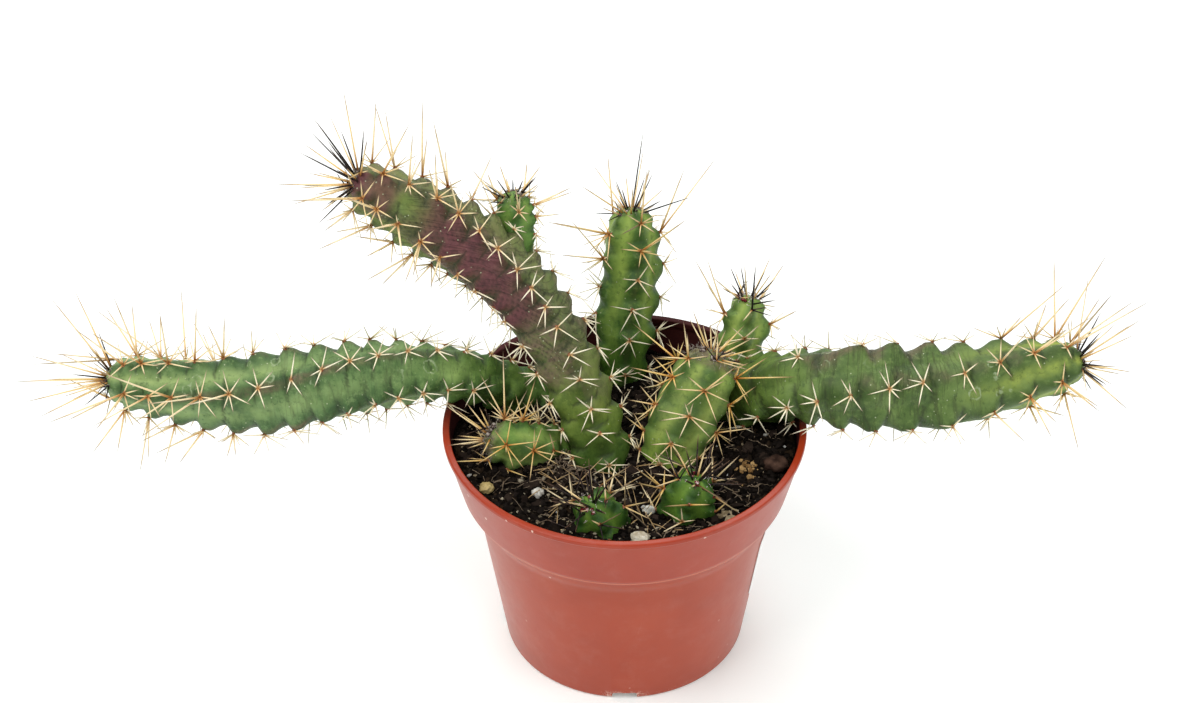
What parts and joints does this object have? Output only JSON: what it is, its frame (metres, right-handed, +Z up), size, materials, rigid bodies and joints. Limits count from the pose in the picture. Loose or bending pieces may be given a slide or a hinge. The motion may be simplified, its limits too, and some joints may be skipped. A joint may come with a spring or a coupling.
{
  "type": "potted cactus",
  "caption": "Clump of spiny, ribbed finger-like cactus stems that arch over the rim of a round nursery pot, with pups, potting mix and a blank sticker.",
  "frame": {"origin": "centre of the flat middle of the pot's base, on the surface that the pot stands on", "axes": "+Z up, +X along the plant's spread, towards the stem that hangs over the rim on the viewer's right, -Y towards the side shown in the picture"},
  "size_m": [0.3766, 0.1431, 0.206],
  "materials": {
    "pot": "satin terracotta-coloured polypropylene, scuffed",
    "pot_label": "white coated sticker",
    "soil": "moist peat and bark potting mix with perlite",
    "left_stem": "living green skin with pale water marks",
    "right_stem": "living green skin, brownish between the knobs",
    "leaning_stem": "living skin, purple-brown and wrinkled, green at both ends",
    "side_branch": "young bright green skin",
    "upright_stem": "living green skin",
    "right_back_stem": "living green skin",
    "front_right_stem": "living yellow-green skin",
    "lying_stem": "living green skin with a grey woolly end",
    "left_pup": "young bright green skin",
    "right_pup": "young bright green skin",
    "left_stem_crown": "grey wool with dark young spines",
    "right_stem_crown": "grey wool with dark young spines",
    "leaning_stem_crown": "grey wool with dark young spines",
    "side_branch_crown": "grey wool with dark young spines",
    "upright_stem_crown": "grey wool with dark young spines",
    "right_back_stem_crown": "grey wool with dark young spines",
    "left_pup_crown": "pinkish wool with dark young spines",
    "right_pup_crown": "pinkish wool with dark young spines",
    "yellow_pebble": "rough",
    "white_stone": "rough",
    "bark_chunk": "rough bark",
    "left_perlite": "rough expanded perlite",
    "front_perlite": "rough expanded perlite"
  },
  "bodies": {
    "root": {"pot": "pot", "pot_label": "pot_label", "soil": "soil", "left_stem": "left_stem", "right_stem": "right_stem", "leaning_stem": "leaning_stem", "side_branch": "side_branch", "upright_stem": "upright_stem", "right_back_stem": "right_back_stem", "front_right_stem": "front_right_stem", "lying_stem": "lying_stem", "left_pup": "left_pup", "right_pup": "right_pup", "left_stem_crown": "left_stem_crown", "right_stem_crown": "right_stem_crown", "leaning_stem_crown": "leaning_stem_crown", "side_branch_crown": "side_branch_crown", "upright_stem_crown": "upright_stem_crown", "right_back_stem_crown": "right_back_stem_crown", "left_pup_crown": "left_pup_crown", "right_pup_crown": "right_pup_crown", "yellow_pebble": "yellow_pebble", "white_stone": "white_stone", "bark_chunk": "bark_chunk", "left_perlite": "left_perlite", "front_perlite": "front_perlite"}
  },
  "joints": []
}
